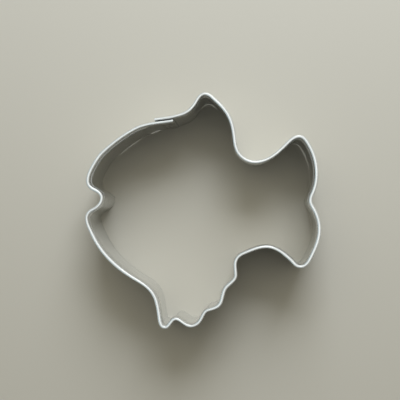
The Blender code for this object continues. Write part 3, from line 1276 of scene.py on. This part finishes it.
@dataclass(frozen=True)
class HeatTint:
    """The thin coloured oxide that welding leaves round a spot weld."""

    strength: float = 0.4
    inner: float = 0.9 * MM
    reach: float = 2.6 * MM
    colors: Stops = (
        (0.0, rgb(0.55, 0.58, 0.66)),
        (0.28, rgb(0.62, 0.50, 0.58)),
        (0.5, rgb(0.80, 0.62, 0.42)),
        (0.75, rgb(0.95, 0.88, 0.70)),
        (1.0, rgb(1.0, 1.0, 1.0)),
    )

    def laid_on(self, graph: Graph, color: Any, distance: Signal) -> bpy.types.NodeSocket:
        """Tints a colour by the distance from the weld.

        Args:
            graph: the material's graph.
            color: the bare metal's colour.
            distance: the distance from the nearest weld.

        Returns:
            The tinted colour.
        """
        share = distance.rising(self.inner, self.reach)
        tint = graph.node("ShaderNodeValToRGB", {"stops": self.colors}, {0: share})
        return graph.mixed(self.strength, color, tint.outputs[0], "MULTIPLY")


@dataclass(frozen=True)
class RolledSheet(MetalFinish):
    """Bright rolled sheet: fine lines along the strip, light scratches, smudges, duller tight bends, and
    painted shade under the hem.
    """

    name: str = "bright_rolled_sheet"
    color: Color = rgb(0.79, 0.80, 0.795)
    shade: Color = rgb(0.70, 0.705, 0.695)
    roughness: float = 0.24
    wall_polish: float = 0.09
    smudge_roughness: float = 0.07
    smudge_size: float = 9 * MM
    metallic: float = 0.85
    cloud_onset: Range = (0.35, 0.7)
    cloud_dulling: float = 0.6
    line_size: Place = (14 * MM, 0.07 * MM, 1.0)
    line_roughness: float = 0.06
    line_relief: float = 0.55
    scratch_size: Place = (3.5 * MM, 0.05 * MM, 1.0)
    scratch_patch: Place = (5 * MM, 4 * MM, 1.0)
    scratch_turns: Range = (0.35, -0.5)
    scratch_onset: Range = (0.68, 0.8)
    patch_onset: Range = (0.45, 0.65)
    scratch_roughness: float = 0.12
    scratch_relief: float = -0.6
    smudge_relief: float = 0.4
    edge_wear: Range = (0.2 * MM, 2.2 * MM)
    edge_roughness: float = 0.06
    polish_end: Range = (16.5 * MM, 18.5 * MM)
    # Heights of an even band just under the hem whose colour is darkened: painted shade under the inward fold
    hem_shade_start: Range = (16.2 * MM, 17.6 * MM)
    hem_shade_end: Range = (17.8 * MM, 18.6 * MM)
    hem_painted_shade: float = 0.35
    bend_dulling: float = 0.25
    bend_roughness: float = 0.05
    least_roughness: float = 0.06
    relief_depth: float = 0.004 * MM
    tint: HeatTint = field(default_factory=HeatTint)

    def scratches(self, graph: Graph, blank: bpy.types.NodeSocket, turn: float) -> Signal:
        """Makes sparse fine scratches in one direction.

        Args:
            graph: the material's graph.
            blank: the place on the flat blank.
            turn: the scratches' turn off the strip's length, in radians.

        Returns:
            1 in a scratch and 0 beside it.
        """
        grains = graph.noise(graph.laid(blank, self.scratch_size, turn), detail=0.0)
        patches = graph.noise(graph.laid(blank, self.scratch_patch, turn), detail=1.0)
        return grains.rising(*self.scratch_onset) * patches.rising(*self.patch_onset)

    def build(self, welds: list[Vector]) -> bpy.types.Material:
        """Makes the material.

        Args:
            welds: the middles of the spot welds.

        Returns:
            The material.
        """
        material, graph = new_material(self.name)
        blank = graph.blank_place()
        place = graph.object_place()
        lines = graph.noise(graph.laid(blank, self.line_size), detail=3.0, rough=0.6)
        smudges = graph.noise(graph.laid(place, (self.smudge_size,) * 3), detail=4.0, rough=0.55)
        cloud = smudges.rising(*self.cloud_onset)
        first, second = (self.scratches(graph, blank, turn) for turn in self.scratch_turns)
        marks = first.most(second)
        height = graph.height_of(place)
        worn = 1 - height.rising(*self.edge_wear)
        # Painted shade: an even band just under the hem, darkened in colour all round the strip
        painted_shade_under_hem = height.rising(*self.hem_shade_start) * (1 - height.rising(*self.hem_shade_end))
        below_hem = 1 - height.rising(*self.polish_end)
        bend = graph.attribute("bend")
        # Smudges, tight bends and the painted shade under the hem all mix the colour towards the darker one
        dulled_and_painted_shade = cloud * self.cloud_dulling + painted_shade_under_hem * self.hem_painted_shade + bend * self.bend_dulling
        color = graph.mixed(dulled_and_painted_shade.least(1.0), self.color, self.shade)
        distance = graph.nearest(place, welds)
        color = self.tint.laid_on(graph, color, distance)
        roughness = (
            self.roughness
            - below_hem * self.wall_polish
            + cloud * self.smudge_roughness
            + lines.centred() * self.line_roughness
            + worn * self.edge_roughness
            + bend * self.bend_roughness
            + marks * self.scratch_roughness
        )
        relief = lines * self.line_relief + marks * self.scratch_relief + smudges * self.smudge_relief
        self.surface(graph, color, roughness.most(self.least_roughness), relief, self.relief_depth)
        return material


@dataclass(frozen=True)
class ShearedEdge(MetalFinish):
    """The strip's cut edges: half burnished and half torn by the shears."""

    name: str = "sheared_edge"
    color: Color = rgb(0.70, 0.69, 0.67)
    shade: Color = rgb(0.42, 0.40, 0.37)
    roughness: float = 0.32
    smudge_roughness: float = 0.22
    smudge_size: float = 2.5 * MM
    worn_onset: Range = (0.4, 0.65)
    worn_shade: float = 0.7
    tear_size: float = 0.06 * MM
    tear_roughness: float = 0.2
    relief_depth: float = 0.01 * MM

    def build(self) -> bpy.types.Material:
        """Makes the material.

        Returns:
            The material.
        """
        material, graph = new_material(self.name)
        place = graph.object_place()
        tears = graph.noise(graph.laid(place, (self.tear_size,) * 3), detail=2.0)
        patches = graph.noise(graph.laid(place, (self.smudge_size,) * 3), detail=3.0)
        worn = patches.rising(*self.worn_onset)
        color = graph.mixed(worn * self.worn_shade, self.color, self.shade)
        roughness = self.roughness + worn * self.smudge_roughness + tears.centred() * self.tear_roughness
        self.surface(graph, color, roughness, tears, self.relief_depth)
        return material


@dataclass(frozen=True)
class WeldFace(MetalFinish):
    """Metal that melted under the electrode: dull, ringed and slightly tinted."""

    name: str = "weld_face"
    color: Color = rgb(0.50, 0.49, 0.48)
    shade: Color = rgb(0.30, 0.27, 0.25)
    roughness: float = 0.36
    smudge_roughness: float = 0.2
    smudge_size: float = 0.7 * MM
    stain_onset: Range = (0.4, 0.7)
    stain_shade: float = 0.4
    burnt_ring: Range = (0.75 * MM, 1.1 * MM)
    burnt_shade: float = 0.8
    ring_width: float = 0.16 * MM
    ring_relief: float = 0.3
    grain: float = 0.05 * MM
    relief_depth: float = 0.012 * MM

    def build(self, welds: list[Vector]) -> bpy.types.Material:
        """Makes the material.

        Args:
            welds: the middles of the spot welds.

        Returns:
            The material.
        """
        material, graph = new_material(self.name)
        place = graph.object_place()
        distance = graph.nearest(place, welds)
        rings = (distance * (2 * math.pi / self.ring_width)).sine()
        pits = graph.noise(graph.laid(place, (self.grain,) * 3), detail=3.0)
        stain = graph.noise(graph.laid(place, (self.smudge_size,) * 3), detail=3.0)
        ringed = distance.rising(*self.burnt_ring) * self.burnt_shade
        burnt = ringed + stain.rising(*self.stain_onset) * self.stain_shade
        color = graph.mixed(burnt.least(1.0), self.color, self.shade)
        roughness = self.roughness + stain * self.smudge_roughness
        self.surface(graph, color, roughness, rings * self.ring_relief + pits, self.relief_depth)
        return material


@dataclass(frozen=True)
class Camera:
    """The photograph's view: almost straight down on the cutter, from a little to its right.

    The tilts turn the view off straight down, towards the picture's left and its top, in degrees.
    """

    location: Place = (14.17 * MM, -2.49 * MM, 222 * MM)
    tilt_left: float = 4.13518
    tilt_up: float = 1.62113
    near_limit: float = 10 * MM
    focal_pixels: float = 636.0
    image_pixels: float = 400.0
    sensor: float = 36.0

    def build(self) -> bpy.types.Object:
        """Places the camera and makes it the scene's.

        Returns:
            The camera.
        """
        data = bpy.data.cameras.new("photo_camera")
        data.sensor_width = self.sensor
        data.lens = self.focal_pixels / self.image_pixels * self.sensor
        data.clip_start = self.near_limit
        camera = bpy.data.objects.new("photo_camera", data)
        bpy.context.collection.objects.link(camera)
        leftwards = Matrix.Rotation(math.radians(self.tilt_left), 4, "Y")
        upwards = Matrix.Rotation(math.radians(self.tilt_up), 4, "X")
        camera.matrix_world = Matrix.Translation(self.location) @ leftwards @ upwards
        bpy.context.scene.camera = camera
        return camera


@dataclass(frozen=True)
class SoftBox:
    """A square studio lamp that points at the cutter, and that metal may mirror or not.

    Its azimuth is measured anticlockwise from +X, in degrees as its elevation.
    """

    name: str
    mirrored: bool
    azimuth: float
    elevation: float
    distance: float
    size: float
    power: float
    color: tuple[float, float, float]

    def build(self) -> bpy.types.Object:
        """Hangs the lamp.

        Returns:
            The lamp.
        """
        data = bpy.data.lights.new(self.name, "AREA")
        data.shape = "SQUARE"
        data.size = self.size
        data.energy = self.power
        data.color = self.color
        lamp = bpy.data.objects.new(self.name, data)
        lamp.visible_glossy = self.mirrored
        bpy.context.collection.objects.link(lamp)
        azimuth, elevation = math.radians(self.azimuth), math.radians(self.elevation)
        toward = Vector(
            (
                math.cos(azimuth) * math.cos(elevation),
                math.sin(azimuth) * math.cos(elevation),
                math.sin(elevation),
            )
        )
        lamp.location = toward * self.distance
        lamp.rotation_euler = toward.to_track_quat("Z", "Y").to_euler()
        return lamp


@dataclass(frozen=True)
class Glow:
    """A soft patch of the surroundings.

    Its middle lies at an azimuth, anticlockwise from +X, and tilts off the zenith, both in degrees. It fades
    in between two cosines of the angle to its middle.
    """

    azimuth: float
    tilt: float
    edge: float
    full: float

    def share(self, graph: Graph, direction: bpy.types.NodeSocket) -> Signal:
        """Tells how much of the patch shows in a direction.

        Args:
            graph: the world's graph.
            direction: the direction looked in.

        Returns:
            A share from 0 to 1.
        """
        turn, lean = math.radians(self.azimuth), math.radians(self.tilt)
        middle = (math.cos(turn) * math.sin(lean), math.sin(turn) * math.sin(lean), math.cos(lean))
        return graph.between("DOT_PRODUCT", direction, middle).rising(self.edge, self.full)


WINDOW = SoftBox(
    name="window",
    mirrored=True,
    azimuth=80.0,
    elevation=36.0,
    distance=0.5,
    size=0.285,
    power=0.42,
    color=(0.97, 0.99, 1.02),
)


@dataclass(frozen=True)
class Studio:
    """The plain floor, the soft light round it, and the lamps."""

    floor_color: Color = rgb(0.583, 0.584, 0.543)
    floor_roughness: float = 0.75
    floor_gloss: float = 0.2
    floor_size: float = 6.0
    floor_gap: float = 0.02 * MM
    backdrop_color: Color = rgb(0.85, 0.86, 0.86)
    sky_color: Color = rgb(0.895, 0.83, 0.66)
    left_shine_color: Color = rgb(0.62, 0.74, 0.78)
    right_shine_color: Color = rgb(0.82, 0.85, 0.83)
    overhead_shine_color: Color = rgb(1.46, 1.47, 1.43)
    room_color: Color = rgb(0.03, 0.03, 0.03)
    sky: Glow = Glow(azimuth=90.0, tilt=35.0, edge=0.4, full=1.0)
    dome: Glow = Glow(azimuth=115.0, tilt=25.0, edge=-0.55, full=0.35)
    right: Glow = Glow(azimuth=0.0, tilt=90.0, edge=-0.8, full=0.8)
    overhead: Glow = Glow(azimuth=60.0, tilt=8.0, edge=0.86, full=0.97)
    lamps: tuple[SoftBox, ...] = (WINDOW, replace(WINDOW, name="window_fill", mirrored=False, power=1.68))

    def build_floor(self) -> bpy.types.Object:
        """Lays the floor just under the cutting edge.

        Returns:
            The floor.
        """
        deselect_everything()
        bpy.ops.mesh.primitive_plane_add(size=self.floor_size, location=(0.0, 0.0, -self.floor_gap))
        floor = newly_made("floor")
        material, graph = new_material("plain_pale_floor")
        sockets = {
            "Base Color": self.floor_color,
            "Roughness": self.floor_roughness,
            "Specular IOR Level": self.floor_gloss,
        }
        shader = graph.node("ShaderNodeBsdfPrincipled", {}, sockets)
        graph.node("ShaderNodeOutputMaterial", {}, {"Surface": shader.outputs[0]})
        floor.data.materials.append(material)
        return floor

    def build_world(self) -> None:
        """Surrounds the scene with soft light from above and behind, and with a pale backdrop."""
        world = bpy.context.scene.world or bpy.data.worlds.new("studio")
        bpy.context.scene.world = world
        world.use_nodes = True
        graph = Graph(world.node_tree)
        direction = graph.node("ShaderNodeTexCoord", {}, {}).outputs["Generated"]
        sky_light = graph.mixed(self.sky.share(graph, direction), self.room_color, self.sky_color)
        right = self.right.share(graph, direction)
        shine = graph.mixed(right, self.left_shine_color, self.right_shine_color)
        shine = graph.mixed(self.dome.share(graph, direction), self.room_color, shine)
        shine = graph.mixed(self.overhead.share(graph, direction), shine, self.overhead_shine_color)
        ray = graph.node("ShaderNodeLightPath", {}, {})
        straight = 1 - graph.number(ray, "Diffuse Depth").least(1.0)
        room_light = graph.mixed(graph.number(ray, "Is Glossy Ray") * straight, sky_light, shine)
        color = graph.mixed(graph.number(ray, "Is Camera Ray"), room_light, self.backdrop_color)
        background = graph.node("ShaderNodeBackground", {}, {"Color": color, "Strength": 1.0})
        graph.node("ShaderNodeOutputWorld", {}, {"Surface": background.outputs[0]})

    def build(self) -> None:
        """Builds the floor, the world and the lamps."""
        self.build_floor()
        self.build_world()
        for lamp in self.lamps:
            lamp.build()


def report(piece: bpy.types.Object) -> None:
    """Logs a piece's size."""
    triangles = sum(len(face.vertices) - 2 for face in piece.data.polygons)
    log.info("%s: %d triangles", piece.name, triangles)


def main() -> None:
    """Builds the strip, the welds, the studio and the camera in order."""
    logging.basicConfig(level=logging.INFO, format="%(name)s: %(message)s")
    bpy.context.scene.view_settings.view_transform = "Standard"
    strip = BentStrip()
    heading = float(strip.route.heading[0])
    nodes = sorted(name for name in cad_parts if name.startswith("spot_weld"))
    welds = [SpotWeld(node, heading, strip.section.lap_half) for node in nodes]
    marks = [weld.mark for weld in welds]
    middles = [mark.centre for mark in marks]
    report(strip.build(marks, [RolledSheet().build(middles), ShearedEdge().build()]))
    weld_face = WeldFace().build(middles)
    for weld in welds:
        report(weld.build(weld_face))
    Studio().build()
    Camera().build()


if __name__ == "__main__":
    main()
